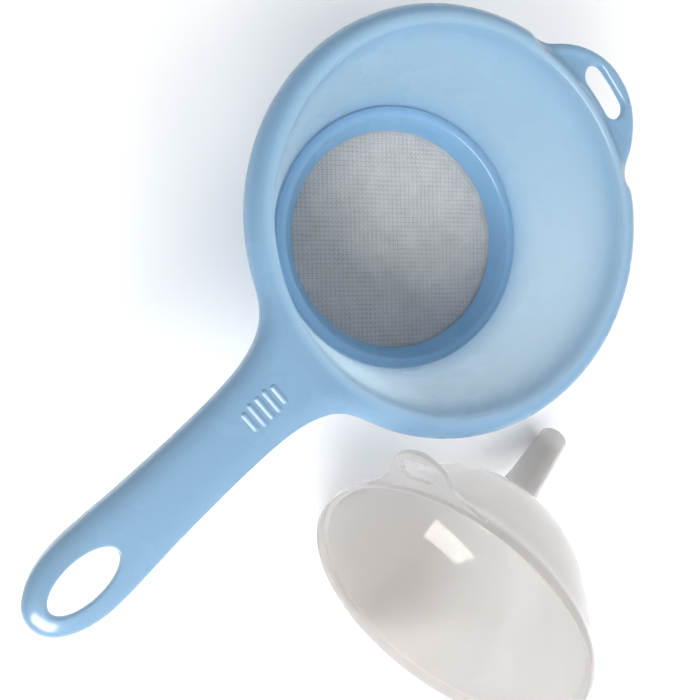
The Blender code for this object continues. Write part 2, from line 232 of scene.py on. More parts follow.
def corner_arc(before, corner, after, radius, steps):
    """Points of the arc that rounds a corner of a polyline."""
    back = (before - corner) / np.linalg.norm(before - corner)
    ahead = (after - corner) / np.linalg.norm(after - corner)
    half = math.acos(float(np.clip(back @ ahead, -1.0, 1.0))) / 2.0
    middle = (back + ahead) / np.linalg.norm(back + ahead)
    center = corner + middle * radius / math.sin(half)
    start = corner + back * radius / math.tan(half) - center
    end = corner + ahead * radius / math.tan(half) - center
    first = math.atan2(start[1], start[0])
    turn = math.atan2(end[1], end[0]) - first
    turn = (turn + math.pi) % (2.0 * math.pi) - math.pi
    angles = first + turn * np.linspace(0.0, 1.0, steps + 1)
    return center + radius * np.stack([np.cos(angles), np.sin(angles)], axis=1)


def rounded_open(points, radii, arc_rows, line_rows):
    """Rows along an open profile, as many for any profile with the same counts."""
    points = np.array(points, float)
    stops = [points[:1]]
    for index, radius in enumerate(radii):
        stops.append(corner_arc(*points[index : index + 3], radius, arc_rows[index]))
    stops.append(points[-1:])
    rows = [stops[0]]
    for index, count in enumerate(line_rows):
        start, end = rows[-1][-1], stops[index + 1][0]
        shares = np.linspace(0.0, 1.0, count + 1)[1:-1, None]
        rows.append(start + (end - start) * shares)
        rows.append(stops[index + 1])
    return np.concatenate([row for row in rows if len(row)])


def rounded_closed(outline, steps=4, longest=3.0):
    """Points round a closed outline of (radius, height, rounding) corners."""
    corners = np.array([corner[:2] for corner in outline], float)
    points = []
    for index, corner in enumerate(outline):
        before, after = corners[index - 1], corners[(index + 1) % len(corners)]
        points.extend(corner_arc(before, corners[index], after, corner[2], steps))
    filled = []
    for index, point in enumerate(points):
        after = points[(index + 1) % len(points)]
        parts = max(1, math.ceil(np.linalg.norm(after - point) / longest))
        filled.extend(point + (after - point) * part / parts for part in range(parts))
    return np.array(filled)


def new_object(name, points, faces, smooth=True, sharp_angle=None):
    """A mesh object from points in metres, with its faces turned outward."""
    mesh = bpy.data.meshes.new(name)
    mesh.from_pydata(np.asarray(points).tolist(), [], faces)
    bm = bmesh.new()
    bm.from_mesh(mesh)
    bmesh.ops.recalc_face_normals(bm, faces=bm.faces[:])
    bm.to_mesh(mesh)
    bm.free()
    if smooth:
        mesh.shade_smooth()
    if sharp_angle is not None:
        mesh.set_sharp_from_angle(angle=math.radians(sharp_angle))
    obj = bpy.data.objects.new(name, mesh)
    bpy.context.scene.collection.objects.link(obj)
    return obj


def strip(first, second):
    """Quads between two closed loops of as many vertex indices."""
    first, second = list(first), list(second)
    return [
        (first[i], first[(i + 1) % len(first)], second[(i + 1) % len(first)], second[i])
        for i in range(len(first))
    ]


def strainer_point(points):
    """Points about the strainer's own axis, in millimetres, as world points in metres."""
    return np.asarray(points, float) * MM + np.array((AXIS_X, AXIS_Y, 0.0))


def lathe_piece(name, outline, place, columns=COLUMNS):
    """A closed solid of revolution from points round its (radius, height) section."""
    angles = np.arange(columns) * 2.0 * math.pi / columns
    radius, height = outline[:, :1], np.repeat(outline[:, 1:2], columns, axis=1)
    points = np.stack([radius * np.cos(angles), radius * np.sin(angles), height], axis=2)
    loops = np.arange(points.shape[0] * columns).reshape(points.shape[0], columns)
    faces = []
    for index in range(len(loops)):
        faces += strip(loops[index], loops[(index + 1) % len(loops)])
    return new_object(name, place(points.reshape(-1, 3)), faces)


def resample(loop, count):
    """A closed loop of complex points, evenly spaced along its length."""
    closed = np.append(loop, loop[0])
    along = np.concatenate([[0.0], np.cumsum(np.abs(np.diff(closed)))])
    wanted = np.linspace(0.0, along[-1], count, endpoint=False)
    return np.interp(wanted, along, closed.real) + 1j * np.interp(wanted, along, closed.imag)


def gaussian(loop, spread):
    """A closed, evenly spaced loop smoothed over a distance."""
    length = np.abs(np.diff(np.append(loop, loop[0]))).sum()
    waves = np.fft.fftfreq(len(loop), length / len(loop)) * 2.0 * math.pi
    return np.fft.ifft(np.fft.fft(loop) * np.exp(-0.5 * (waves * spread) ** 2))


def strainer_outline():
    """The outline of rim, handle and ear: complex points, and the direction inward at each."""
    angles = np.radians(np.arange(RIM_TO, RIM_FROM, -RIM_STEP))
    rim = [(RIM_RADIUS * math.cos(a), RIM_RADIUS * math.sin(a)) for a in angles]
    half = np.array([complex(x, y) for x, y in (*HANDLE_HALF, *rim, *EAR_HALF)])
    loop = np.concatenate([half, np.conj(half[1:-1][::-1])])
    loop = resample(loop, 4 * OUTLINE_POINTS)
    once = gaussian(loop, OUTLINE_SMOOTHING)
    loop = resample(2.0 * once - gaussian(once, OUTLINE_SMOOTHING), OUTLINE_POINTS)
    along = np.roll(loop, -1) - np.roll(loop, 1)
    inward = -1j * along / np.abs(along)
    return loop, inward


def bent_slot(center_radius, half_length, half_width, count):
    """Complex points round a slot with round ends that follows a circle, centred on +X."""
    angle = np.linspace(-math.pi / 2, math.pi / 2, 60)
    end = half_width * np.exp(1j * angle)
    reach = half_length - half_width
    straight = np.linspace(-reach, reach, 40)
    flat = np.concatenate([end * 1j + 1j * reach, (straight[::-1] * 1j - half_width)[1:-1]])
    flat = np.concatenate([flat, end * -1j - 1j * reach, (straight * 1j + half_width)[1:-1]])
    radius, turn = center_radius + flat.real, flat.imag / center_radius
    return resample(radius * np.exp(1j * turn), count)


def outward_of(loop):
    """Unit directions out of a closed loop, whichever way round it runs."""
    along = np.roll(loop, -1) - np.roll(loop, 1)
    across = -1j * along / np.abs(along)
    if np.mean((np.conj(loop - loop.mean()) * across).real) < 0.0:
        across = -across
    return across


def nearest(points, loop):
    """Distance to, and index of, the closest point of a loop, for many complex points."""
    distance, index = np.empty(len(points)), np.empty(len(points), int)
    for start in range(0, len(points), 2000):
        apart = np.abs(points[start : start + 2000, None] - loop[None, :])
        index[start : start + 2000] = apart.argmin(axis=1)
        distance[start : start + 2000] = apart.min(axis=1)
    return distance, index


def inside(points, loop):
    """True for each complex point within a closed loop."""
    found = np.zeros(len(points), bool)
    for start, end in zip(loop, np.roll(loop, -1)):
        crosses = (start.imag > points.imag) != (end.imag > points.imag)
        rise = end.imag - start.imag
        if rise != 0.0:
            x = start.real + (points.imag - start.imag) * (end.real - start.real) / rise
            found ^= crosses & (points.real < x)
    return found


def region_weights(loop):
    """How much each outline point belongs to the handle and to the ear."""
    handle = smoothstep((-loop.real - HANDLE_FROM) / HANDLE_BLEND)
    ear = fade_in(np.abs(np.degrees(np.angle(loop))), EAR_EDGE_ANGLES)
    return handle, ear


def edge_measures(loop):
    """Width, depth and skirt of the rolled edge at each outline point."""
    handle, ear = region_weights(loop)
    rows = []
    for rim_value, handle_value, ear_value in zip(RIM_ROLL, HANDLE_ROLL, EAR_ROLL):
        rows.append(rim_value + (handle_value - rim_value) * handle + (ear_value - rim_value) * ear)
    return rows


def top_height(points, distance, width, depth):
    """Height of the smooth top of rim, handle and ear, without ribs, beads and hole edges."""
    radius, angle = np.abs(points), np.abs(np.degrees(np.angle(points)))
    ramp = -points.real - HANDLE_FROM
    lift = HANDLE_RISE * 0.5 * (ramp + np.sqrt(ramp * ramp + HANDLE_BEND**2))
    lift *= smoothstep((radius - CREST_RADIUS) / LIFT_BLEND)
    rolled = CREST_HEIGHT + lift - quarter_drop(distance, width, depth)

    plate = EAR_FOOT_HEIGHT + (EAR_HEIGHT - EAR_FOOT_HEIGHT) * fade_in(angle, EAR_CLIMB_ANGLES)
    fall = smoothstep((radius - CREST_RADIUS) / EAR_FALL)
    eared = CREST_HEIGHT + (plate - CREST_HEIGHT) * fall
    return rolled + (eared - rolled) * fade_in(angle, EAR_BLEND_ANGLES)


def rib_height(points):
    """Height of the grip ribs above the handle."""
    height = np.zeros(len(points))
    for x, length in zip(RIB_X, RIB_LENGTHS):
        reach = length / 2.0 - RIB_HALF_WIDTH
        past = np.maximum(np.abs(points.imag) - reach, 0.0)
        off = np.hypot(points.real - x, past) / RIB_HALF_WIDTH
        height = np.maximum(height, RIB_HEIGHT * np.sqrt(np.clip(1.0 - off * off, 0.0, 1.0)))
    return height


def in_rib_field(points, margin=0.0):
    """True for each point over the grip ribs, whose mesh is finer than the rest."""
    middle = (RIB_X[0] + RIB_X[-1]) / 2.0
    half = (RIB_X[0] - RIB_X[-1]) / 2.0 + RIB_FIELD_MARGIN - margin
    beside = np.abs(points.imag) < RIB_FIELD_HALF_WIDTH - margin
    return (np.abs(points.real - middle) < half) & beside


def edge_points(loop, inward, width, holes):
    """Rows of plan points that follow the rolled outer edge and the rounded edges of the holes."""
    rows = []
    for index in range(1, EDGE_ROWS + 1):
        turn = math.radians(90.0 / EDGE_ROWS * index)
        row = loop + inward * width * (1.0 - math.cos(turn))
        rows.append(row[np.abs(row) > CREST_RADIUS + EDGE_OFF_CREST])
    for hole in holes:
        out = outward_of(hole)
        rows += [hole + out * HOLE_EDGE * share for share in HOLE_ROWS]
    rows = np.concatenate(rows)
    rows = rows[~in_rib_field(rows)]

    clear = np.ones(len(rows), bool)
    last_row = HOLE_ROWS[-1] * HOLE_EDGE
    for hole in holes:
        away = nearest(rows, hole)[0]
        crowding = (away >= last_row + 0.01) & (away < last_row + ROWS_APART)
        clear &= ~(inside(rows, hole) | crowding)
    return rows[clear]


def fill_points(loop, width, holes):
    """Plan points between the edge rows: rings at the ear's root, a grid, and a finer one at the ribs."""
    spans = np.radians(np.arange(-EAR_RING_SPAN, EAR_RING_SPAN + 0.01, EAR_RING_STEP))
    rings = [radius * np.exp(1j * spans) for radius in EAR_RINGS]
    xs, ys = np.meshgrid(np.arange(-180.0, 90.0, GRID_STEP_X), np.arange(-48.0, 48.0, GRID_STEP_Y))
    xs[::2] += GRID_STEP_X / 2.0
    grid = (xs + 1j * ys).ravel()
    by_rings = np.abs(np.angle(grid)) < math.radians(EAR_RING_SPAN + 0.3)
    by_rings &= np.abs(grid) < EAR_RINGS[-1] + 1.0
    grid = grid[~in_rib_field(grid, -0.4) & ~by_rings]
    rib_x = np.arange(-101.0, -84.6, RIB_GRID_STEP)
    rib_x, rib_y = np.meshgrid(rib_x, np.arange(-5.4, 5.5, RIB_GRID_STEP))
    fill = np.concatenate([*rings, grid, (rib_x + 1j * rib_y).ravel()])

    distance, index = nearest(fill, loop)
    keep = inside(fill, loop) & (np.abs(fill) > CREST_RADIUS + FILL_OFF_CREST)
    keep &= (distance > width[index] + FILL_OFF_ROWS) | in_rib_field(fill)
    for hole in holes:
        away = nearest(fill, hole)[0]
        keep &= (away > HOLE_ROWS[-1] * HOLE_EDGE + FILL_OFF_ROWS) & ~inside(fill, hole)
    return fill[keep]


def triangulate(loops, outer, free=()):
    """Points, and triangles within the outer loop (its place in loops) and outside all the others."""
    points = np.concatenate([*loops, free])
    edges, start = [], 0
    for loop in loops:
        count = len(loop)
        edges += [(start + i, start + (i + 1) % count) for i in range(count)]
        start += count
    coords = [Vector((point.real, point.imag)) for point in points]
    found = delaunay_2d_cdt(coords, edges, [], 0, 1e-5, True)
    origins = np.array([sources[0] if sources else -1 for sources in found[3]])
    triangles = origins[np.array(found[2])]
    triangles = triangles[(triangles >= 0).all(axis=1)]
    middle = points[triangles].mean(axis=1)
    keep = inside(middle, loops[outer])
    for index, loop in enumerate(loops):
        if index != outer:
            keep &= ~inside(middle, loop)
    return points, triangles[keep]


def vertex_normals(points, triangles):
    """Upward vertex normals, weighted by area."""
    a, b, c = (points[triangles[:, i]] for i in range(3))
    cross = np.cross(b - a, c - a)
    cross *= np.where(cross[:, 2:3] < 0.0, -1.0, 1.0)
    normals = np.zeros_like(points)
    for i in range(3):
        np.add.at(normals, triangles[:, i], cross)
    return normals / np.linalg.norm(normals, axis=1)[:, None]


def closing_arc(top, under, outward, steps=5, bulge=0.8):
    """Rows of points that round the edge between a top loop and the loop under it."""
    middle, half = (top + under) / 2.0, (top - under) / 2.0
    out3 = np.stack([outward.real, outward.imag, np.zeros(len(outward))], axis=1)
    a, b = (half * out3).sum(axis=1)[:, None], half[:, 2:3]
    direction = (out3 * b - np.array([0.0, 0.0, 1.0]) * a) * bulge
    rows = []
    for index in range(1, steps):
        angle = math.pi * index / steps
        rows.append(middle + half * math.cos(angle) + direction * math.sin(angle))
    return rows


def at_height(plan, height):
    """Points in space from complex plan points and their height, or one height for all."""
    return np.stack([plan.real, plan.imag, np.broadcast_to(height, plan.shape)], axis=1)


class Shell:
    """A wall in the making: pairs of top and under points, the faces of its top, and its open edges."""

    def __init__(self, top, under, faces):
        self.tops, self.unders, self.faces = [top], [under], faces
        self.count = len(top)
        self.open_edges = []

    def add_row(self, above, top, under):
        """Adds a closed row of point pairs below the row with the given indices, and returns its indices."""
        self.tops.append(top)
        self.unders.append(under)
        row = list(range(self.count, self.count + len(top)))
        self.faces += strip(above, row)
        self.count += len(top)
        return row

    def add_bowl(self):
        """The bowl's wall, from the crest of the rim down to the foot of the neck."""
        inside_rows = rounded_open(BOWL_INSIDE, BOWL_INSIDE_ROUNDING, BOWL_ARC_ROWS, BOWL_LINE_ROWS)
        outside_rows = rounded_open(BOWL_OUTSIDE, BOWL_OUTSIDE_ROUNDING, BOWL_ARC_ROWS, BOWL_LINE_ROWS)
        circle = np.exp(2j * math.pi * np.arange(COLUMNS) / COLUMNS)
        row = list(range(COLUMNS))
        for (r_in, z_in), (r_out, z_out) in zip(inside_rows[-2::-1], outside_rows[-2::-1]):
            row = self.add_row(row, at_height(r_in * circle, z_in), at_height(r_out * circle, z_out))
        self.open_edges.append((row, -circle))

    def add_skirt(self, start, out, drop, steps, tuck):
        """A skirt hanging from the loop of points at start, with its under side drawn in by tuck."""
        row = list(range(start, start + len(out)))
        high, low = self.tops[0][row], self.unders[0][row]
        for step in range(1, steps + 1):
            share = step / steps
            top, under = high.copy(), low.copy()
            top[:, 2] -= drop * share
            under[:, 2] -= drop * share * (1.0 - tuck)
            under[:, 0] += out.real * SKIRT_TUCK * share * tuck
            under[:, 1] += out.imag * SKIRT_TUCK * share * tuck
            row = self.add_row(row, top, under)
        self.open_edges.append((row, out))

    def close(self):
        """Points and faces of the closed solid, with every open edge rounded over."""
        tops, unders = np.concatenate(self.tops), np.concatenate(self.unders)
        points, total = [tops, unders], 2 * self.count
        faces = self.faces + [tuple(i + self.count for i in reversed(face)) for face in self.faces]
        for row, out in self.open_edges:
            row = np.array(row)
            last = row
            for ring in closing_arc(tops[row], unders[row], out):
                points.append(ring)
                new_row = np.arange(total, total + len(row))
                faces += strip(last.tolist(), new_row.tolist())
                last, total = new_row, total + len(row)
            faces += strip(last.tolist(), (row + self.count).tolist())
        return np.concatenate(points), faces


def flange_surfaces(plan, triangles, loop, inward, holes):
    """Top and under points of rim, handle and ear over their plan points."""
    width, depth, _ = edge_measures(loop)
    distance, index = nearest(plan, loop)
    at_edge = slice(COLUMNS, COLUMNS + len(loop))
    distance[at_edge] = 0.0
    ear_here = region_weights(loop)[1][index] * (plan.real > 0.0)
    base = top_height(plan, distance, width[index], depth[index])
    base[:COLUMNS] = CREST_HEIGHT

    bead_at, bead_half, bead_high = EAR_BEAD
    bump = np.cos(np.clip((distance - bead_at) / bead_half, -1.0, 1.0) * math.pi / 2.0) ** 2
    edge = quarter_drop(distance, EAR_EDGE_WIDTH, EAR_ROLL[1])
    top = base + rib_height(plan) + ear_here * (bead_high * bump - edge)
    inset = np.zeros(len(plan), complex)
    for hole in holes:
        away, at = nearest(plan, hole)
        top -= quarter_drop(away, HOLE_EDGE, HOLE_EDGE)
        fade = np.clip(1.0 - away / (HOLE_ROWS[-1] * HOLE_EDGE), 0.0, 1.0)
        inset += outward_of(hole)[at] * HOLE_EDGE * fade

    # The under side: offset from the top by the wall, but level under the ear
    surface = at_height(plan, base)
    normals = vertex_normals(surface, triangles)
    normals[at_edge] = -at_height(inward, 0.0)
    under = surface - WALL * normals
    radius = np.abs(plan)
    from_crest = smoothstep((radius - CREST_RADIUS) / UNDER_BLEND)
    shift = (BOWL_OUTSIDE[-1][0] - CREST_RADIUS) * (1.0 - from_crest)
    moved = plan / radius * shift + inset
    under[:, 0] += moved.real
    under[:, 1] += moved.imag
    level_from, level_over = EAR_LEVEL
    level = ear_here * smoothstep((radius - level_from) / level_over)
    tuck, tuck_over = EAR_TUCK
    tucked = plan + inset + inward[index] * tuck * np.clip(1.0 - distance / tuck_over, 0.0, 1.0)
    under += (at_height(tucked, base - EAR_THICKNESS) - under) * level[:, None]
    return at_height(plan, top), under


def make_strainer_body():
    """Bowl, neck, rolled rim, handle and hook ear as one closed moulding."""
    loop, inward = strainer_outline()
    width, _, skirt = edge_measures(loop)
    hole_x, hole_a, hole_b = HANG_HOLE
    turn = np.linspace(0.0, 2.0 * math.pi, 400, endpoint=False)
    hang_hole = resample(hole_x + hole_a * np.cos(turn) + 1j * hole_b * np.sin(turn), HANG_HOLE_POINTS)
    holes = (hang_hole, bent_slot(*EAR_SLOT, EAR_SLOT_POINTS))
    crest = CREST_RADIUS * np.exp(2j * math.pi * np.arange(COLUMNS) / COLUMNS)
    free = np.concatenate([edge_points(loop, inward, width, holes), fill_points(loop, width, holes)])
    plan, triangles = triangulate((crest, loop, *holes), 1, free)

    top, under = flange_surfaces(plan, triangles, loop, inward, holes)
    shell = Shell(top, under, [tuple(triangle) for triangle in triangles])
    shell.add_bowl()
    shell.add_skirt(COLUMNS, -inward, skirt, 3, region_weights(loop)[1])
    start = COLUMNS + len(loop)
    for hole in holes:
        shell.add_skirt(start, -outward_of(hole), HOLE_SKIRT, 2, 1.0)
        start += len(hole)
    points, faces = shell.close()
    return new_object("strainer_moulding", strainer_point(points), faces)


def make_weave(name, weave, along_x):
    """One set of parallel wires of plain woven cloth, each waving over and under the other set."""
    pitch, radius = weave["pitch"], weave["radius"]
    wire = weave["wire"] / 2.0
    lines = int(radius / pitch)
    sides = weave["sides"]
    around = 2.0 * math.pi * np.arange(sides) / sides
    step = pitch / 2.0
    turn = np.exp(1j * math.radians(weave["turn"]))
    points, faces, total = [], [], 0
    for line in range(-lines, lines + 1):
        offset = line * pitch
        reach = math.sqrt(max(radius * radius - offset * offset, 0.0))
        count = int(reach / step)
        if count < 2:
            continue
        steps = np.arange(-count, count + 1)
        along = steps * step
        sign = 1.0 if along_x else -1.0
        wave = sign * wire * np.cos(math.pi * (along / pitch + line))
        slope = -sign * wire * math.pi / pitch * np.sin(math.pi * (along / pitch + line))
        lean = np.arctan(slope)
        ring = np.empty((len(steps), sides, 3))
        up = wire * np.sin(around)
        ring[:, :, 0] = along[:, None] - np.sin(lean)[:, None] * up
        ring[:, :, 1] = offset + wire * np.cos(around)
        ring[:, :, 2] = weave["height"] + wave[:, None] + np.cos(lean)[:, None] * up
        flat = ring.reshape(-1, 3)
        plan = flat[:, 0] + 1j * flat[:, 1]
        if not along_x:
            plan = flat[:, 1] + 1j * flat[:, 0]
        plan = plan * turn
        points.append(np.stack([plan.real, plan.imag, flat[:, 2]], axis=1))
        index = total + np.arange(len(steps) * sides).reshape(len(steps), sides)
        quads = np.stack([index[:-1], np.roll(index[:-1], -1, 1), np.roll(index[1:], -1, 1), index[1:]], 2)
        faces += quads.reshape(-1, 4).tolist()
        faces += [index[0].tolist(), index[-1][::-1].tolist()]
        total += len(steps) * sides
    return new_object(name, strainer_point(np.concatenate(points)), faces)


def funnel_matrix():
    """Turns the funnel's own axes (+Z towards the spout, +Y up across the mouth) into the lying pose."""
    lean, heading = math.radians(FUNNEL_LEAN), math.radians(FUNNEL_HEADING)
    level = Vector((math.cos(heading), math.sin(heading), 0.0))
    spout = level * math.cos(lean) - Vector((0.0, 0.0, math.sin(lean)))
    across = Vector((0.0, 0.0, 1.0)).cross(spout).normalized()
    up = spout.cross(across)
    place = Matrix.Translation(funnel_low + Vector(FUNNEL_MOUTH) * MM)
    return place @ Matrix((across, up, spout)).transposed().to_4x4()


def smooth_profile(points, longest=1.6, passes=10, most=0.25):
    """A profile through the given corners, with more rows and softened bends."""
    points = np.array(points, float)
    rows = [points[0]]
    for start, end in zip(points, points[1:]):
        parts = max(2, math.ceil(np.linalg.norm(end - start) / longest))
        rows += [start + (end - start) * part / parts for part in range(1, parts + 1)]
    rows = np.array(rows)
    for _ in range(passes):
        moved = rows.copy()
        moved[1:-1] = 0.25 * rows[:-2] + 0.5 * rows[1:-1] + 0.25 * rows[2:]
        bend = np.linalg.norm(moved - rows, axis=1)
        rows = np.where(bend[:, None] < most, moved, rows)
    return rows


def funnel_point(points, turned=0.0):
    """Points in the funnel's own axes, in millimetres, turned about its axis, as world points in metres."""
    pose = funnel_matrix() @ Matrix.Rotation(math.radians(turned), 4, "Z")
    turn, shift = np.array(pose.to_3x3()), np.array(pose.translation)
    return points * MM @ turn.T + shift


def make_funnel():
    """The funnel's bowl and spout, turned as one shell."""
    section = np.concatenate([smooth_profile(FUNNEL_OUTSIDE), smooth_profile(FUNNEL_INSIDE)[::-1]])
    return lathe_piece("funnel_moulding", section, funnel_point)


def rounded_edge(loop, out):
    """Loops and heights of the funnel ear's rounded edge, from its lower face to its upper one."""
    rows = []
    turns = np.radians([0.0, 25.0, 50.0, 75.0, 90.0])
    low, high, edge = FUNNEL_EAR["low"], FUNNEL_EAR["high"], FUNNEL_EAR_EDGE
    for face, rise, order in ((low, edge, turns), (high, -edge, turns[::-1])):
        for angle in order:
            inset = out * edge * (1.0 - math.sin(angle))
            rows.append((loop + inset, face + rise * (1.0 - math.cos(angle))))
    return rows


def make_funnel_ear():
    """The plate beside the funnel's mouth, with its slot."""
    half_width, reach = FUNNEL_EAR["half_width"], FUNNEL_EAR["reach"]
    turn = np.radians(np.linspace(90.0, -90.0, 48))
    tip = (reach - half_width) + half_width * np.exp(1j * turn)
    root = np.array([complex(x, y) for x, y in FUNNEL_EAR_ROOT])
    closing_radius, closing_angle = FUNNEL_EAR_CLOSING
    closing = closing_radius * np.exp(1j * np.radians(np.linspace(-closing_angle, closing_angle, 41)))
    outline = np.concatenate([root, tip, np.conj(root[::-1]), closing])
    outline = gaussian(resample(outline, FUNNEL_EAR_POINTS), FUNNEL_EAR_SMOOTHING)
    slot = bent_slot(*FUNNEL_EAR_SLOT, FUNNEL_SLOT_POINTS)

    points, faces, flat_faces, total = [], [], [], 0
    for loop, side in ((outline, -1.0), (slot, 1.0)):
        wall = []
        for ring, height in rounded_edge(loop, outward_of(loop) * side):
            points.append(at_height(ring, height))
            wall.append((list(range(total, total + len(ring))), ring))
            total += len(ring)
        for (below, _), (above, _) in zip(wall, wall[1:]):
            faces += strip(below, above)
        flat_faces.append((wall[0], wall[-1]))
    for (outer_row, outer_loop), (slot_row, slot_loop) in zip(*flat_faces):
        row = np.array(outer_row + slot_row)
        _, triangles = triangulate((outer_loop, slot_loop), 0)
        faces += [tuple(row[triangle]) for triangle in triangles]
    placed = funnel_point(np.concatenate(points), FUNNEL_EAR_ANGLE)
    return new_object("funnel_ear", placed, faces, sharp_angle=40.0)


def unite(obj, other, sharp_angle=50.0):
    """Joins another closed solid into obj, so that the two are one moulding."""
    modifier = obj.modifiers.new("Union", "BOOLEAN")
    modifier.operation, modifier.solver, modifier.object = "UNION", "EXACT", other
    graph = bpy.context.evaluated_depsgraph_get()
    joined = bpy.data.meshes.new_from_object(obj.evaluated_get(graph))
    obj.modifiers.clear()
    obj.data = joined
    bpy.data.objects.remove(other)
    joined.shade_smooth()
    joined.set_sharp_from_angle(angle=math.radians(sharp_angle))


# ---------------------------------------------------------------- materials


class Nodes:
    """Short ways to add and join the nodes of one material."""

    def __init__(self, name):
        self.material = bpy.data.materials.new(name)
        self.material.use_nodes = True
        self.tree = self.material.node_tree
        self.shader = self.tree.nodes["Principled BSDF"]
        self.place = self.tree.nodes.new("ShaderNodeTexCoord").outputs["Object"]

    def join(self, output, socket):
        """Links an output to a socket."""
        self.tree.links.new(output, socket)

    def noise(self, scale, detail=3.0, roughness=0.5):
        """Solid noise over the piece, scale in waves a metre."""
        node = self.tree.nodes.new("ShaderNodeTexNoise")
        node.inputs["Scale"].default_value = scale
        node.inputs["Detail"].default_value = detail
        node.inputs["Roughness"].default_value = roughness
        self.join(self.place, node.inputs["Vector"])
        return node.outputs["Fac"]

    def ramp(self, factor, stops):
        """Colours against a factor, from (place, colour) stops."""
        node = self.tree.nodes.new("ShaderNodeValToRGB")
        ramp = node.color_ramp
        while len(ramp.elements) < len(stops):
            ramp.elements.new(0.5)
        for element, (place, color) in zip(ramp.elements, stops):
            element.position, element.color = place, (*color, 1.0)
        self.join(factor, node.inputs["Fac"])
        return node.outputs["Color"]

    def spread(self, factor, low, high, from_low=0.3, from_high=0.7):
        """A factor's range brought to low and high."""
        node = self.tree.nodes.new("ShaderNodeMapRange")
        for name, value in (
            ("From Min", from_low), ("From Max", from_high), ("To Min", low), ("To Max", high),
        ):  # fmt: skip
            node.inputs[name].default_value = value
        self.join(factor, node.inputs["Value"])
        return node.outputs["Result"]

    def bump(self, heights):
        """Bumps from (height output, distance in metres) pairs."""
        normal = None
        for height, distance in heights:
            node = self.tree.nodes.new("ShaderNodeBump")
            node.inputs["Strength"].default_value = 1.0
            node.inputs["Distance"].default_value = distance
            self.join(height, node.inputs["Height"])
            if normal:
                self.join(normal, node.inputs["Normal"])
            normal = node.outputs["Normal"]
        self.join(normal, self.shader.inputs["Normal"])

    def distance_from_axis(self, x, y):
        """Distance in metres from a vertical axis."""
        level = self.tree.nodes.new("ShaderNodeVectorMath")
        level.operation = "MULTIPLY"
        level.inputs[1].default_value = (1.0, 1.0, 0.0)
        self.join(self.place, level.inputs[0])
        apart = self.tree.nodes.new("ShaderNodeVectorMath")
        apart.operation = "DISTANCE"
        apart.inputs[1].default_value = (x, y, 0.0)
        self.join(level.outputs["Vector"], apart.inputs[0])
        return apart.outputs["Value"]

    def multiply(self, first, second):
        """Two colours multiplied."""
        node = self.tree.nodes.new("ShaderNodeMix")
        node.data_type, node.blend_type = "RGBA", "MULTIPLY"
        node.inputs["Factor"].default_value = 1.0
        self.join(first, node.inputs[6])
        self.join(second, node.inputs[7])
        return node.outputs[2]

    def let_light_through(self, color, share):
        """Mixes in light that passes through the wall, so that thin walls glow."""
        through = self.tree.nodes.new("ShaderNodeBsdfTranslucent")
        through.inputs["Color"].default_value = (*color, 1.0)
        mix = self.tree.nodes.new("ShaderNodeMixShader")
        if isinstance(share, float):
            mix.inputs["Fac"].default_value = share
        else:
            self.join(share, mix.inputs["Fac"])
        self.join(self.shader.outputs["BSDF"], mix.inputs[1])
        self.join(through.outputs["BSDF"], mix.inputs[2])
        self.join(mix.outputs["Shader"], self.tree.nodes["Material Output"].inputs["Surface"])

    def settings(self, **values):
        """Sets the shader's own sockets, named with _ for a space."""
        for name, value in values.items():
            self.shader.inputs[name.replace("_", " ")].default_value = value


def blue_plastic():
    """Light blue polypropylene: the thin bowl wall lets light through, and the rim, handle and ear get a
    darker base colour, painted shade.
    """
    nodes = Nodes("blue_polypropylene")
    from_axis = nodes.distance_from_axis(AXIS_X, AXIS_Y)
    wall = nodes.spread(from_axis, 0.0, 1.0, WALL_NEAR, WALL_FAR)
    # The ramp darkens the base colour on the rim, handle and ear: painted shade.
    color = nodes.ramp(wall, BLUE_STOPS)
    cloud = nodes.ramp(nodes.noise(28.0, detail=4.0, roughness=0.55), BLUE_CLOUD)
    nodes.join(nodes.multiply(color, cloud), nodes.shader.inputs["Base Color"])
    patches = nodes.noise(55.0)
    nodes.join(nodes.spread(patches, 0.24, 0.30), nodes.shader.inputs["Roughness"])
    nodes.bump([(nodes.noise(45.0, detail=1.0, roughness=0.3), 0.00006)])
    nodes.settings(IOR=1.49, Coat_Weight=0.5, Coat_Roughness=0.07)
    share = nodes.ramp(wall, [(place, (value,) * 3) for place, value in GLOW_STOPS])
    nodes.let_light_through(BLUE_GLOW, share)
    return nodes.material


def clear_plastic():
    """Natural polypropylene: milky and translucent, glossy outside, with faint flow streaks."""
    nodes = Nodes("natural_polypropylene")
    color = nodes.ramp(nodes.noise(22.0, detail=4.0, roughness=0.6), CLEAR_CLOUD)
    nodes.join(color, nodes.shader.inputs["Base Color"])
    fine = nodes.noise(700.0, roughness=0.6)
    nodes.join(nodes.spread(fine, 0.06, 0.12), nodes.shader.inputs["Roughness"])
    ripple = nodes.noise(60.0, detail=2.0, roughness=0.4)
    nodes.bump([(ripple, 0.0001), (fine, 0.0000008)])
    nodes.settings(IOR=1.15, Transmission_Weight=0.78, Coat_Weight=1.0, Coat_Roughness=0.03)
    nodes.let_light_through(CLEAR_GLOW, CLEAR_GLOW_SHARE)
    return nodes.material


def steel_wire(name, dark, light):
    """Drawn stainless wire: grey, a little uneven in brightness from wire to wire."""
    nodes = Nodes(name)
    color = nodes.ramp(nodes.noise(160.0, roughness=0.6), [(0.3, dark), (0.7, light)])
    nodes.join(color, nodes.shader.inputs["Base Color"])
    fine = nodes.noise(2500.0, detail=2.0)
    nodes.join(nodes.spread(fine, 0.28, 0.45), nodes.shader.inputs["Roughness"])
    nodes.bump([(fine, 0.00001)])
    nodes.settings(Metallic=1.0)
    return nodes.material


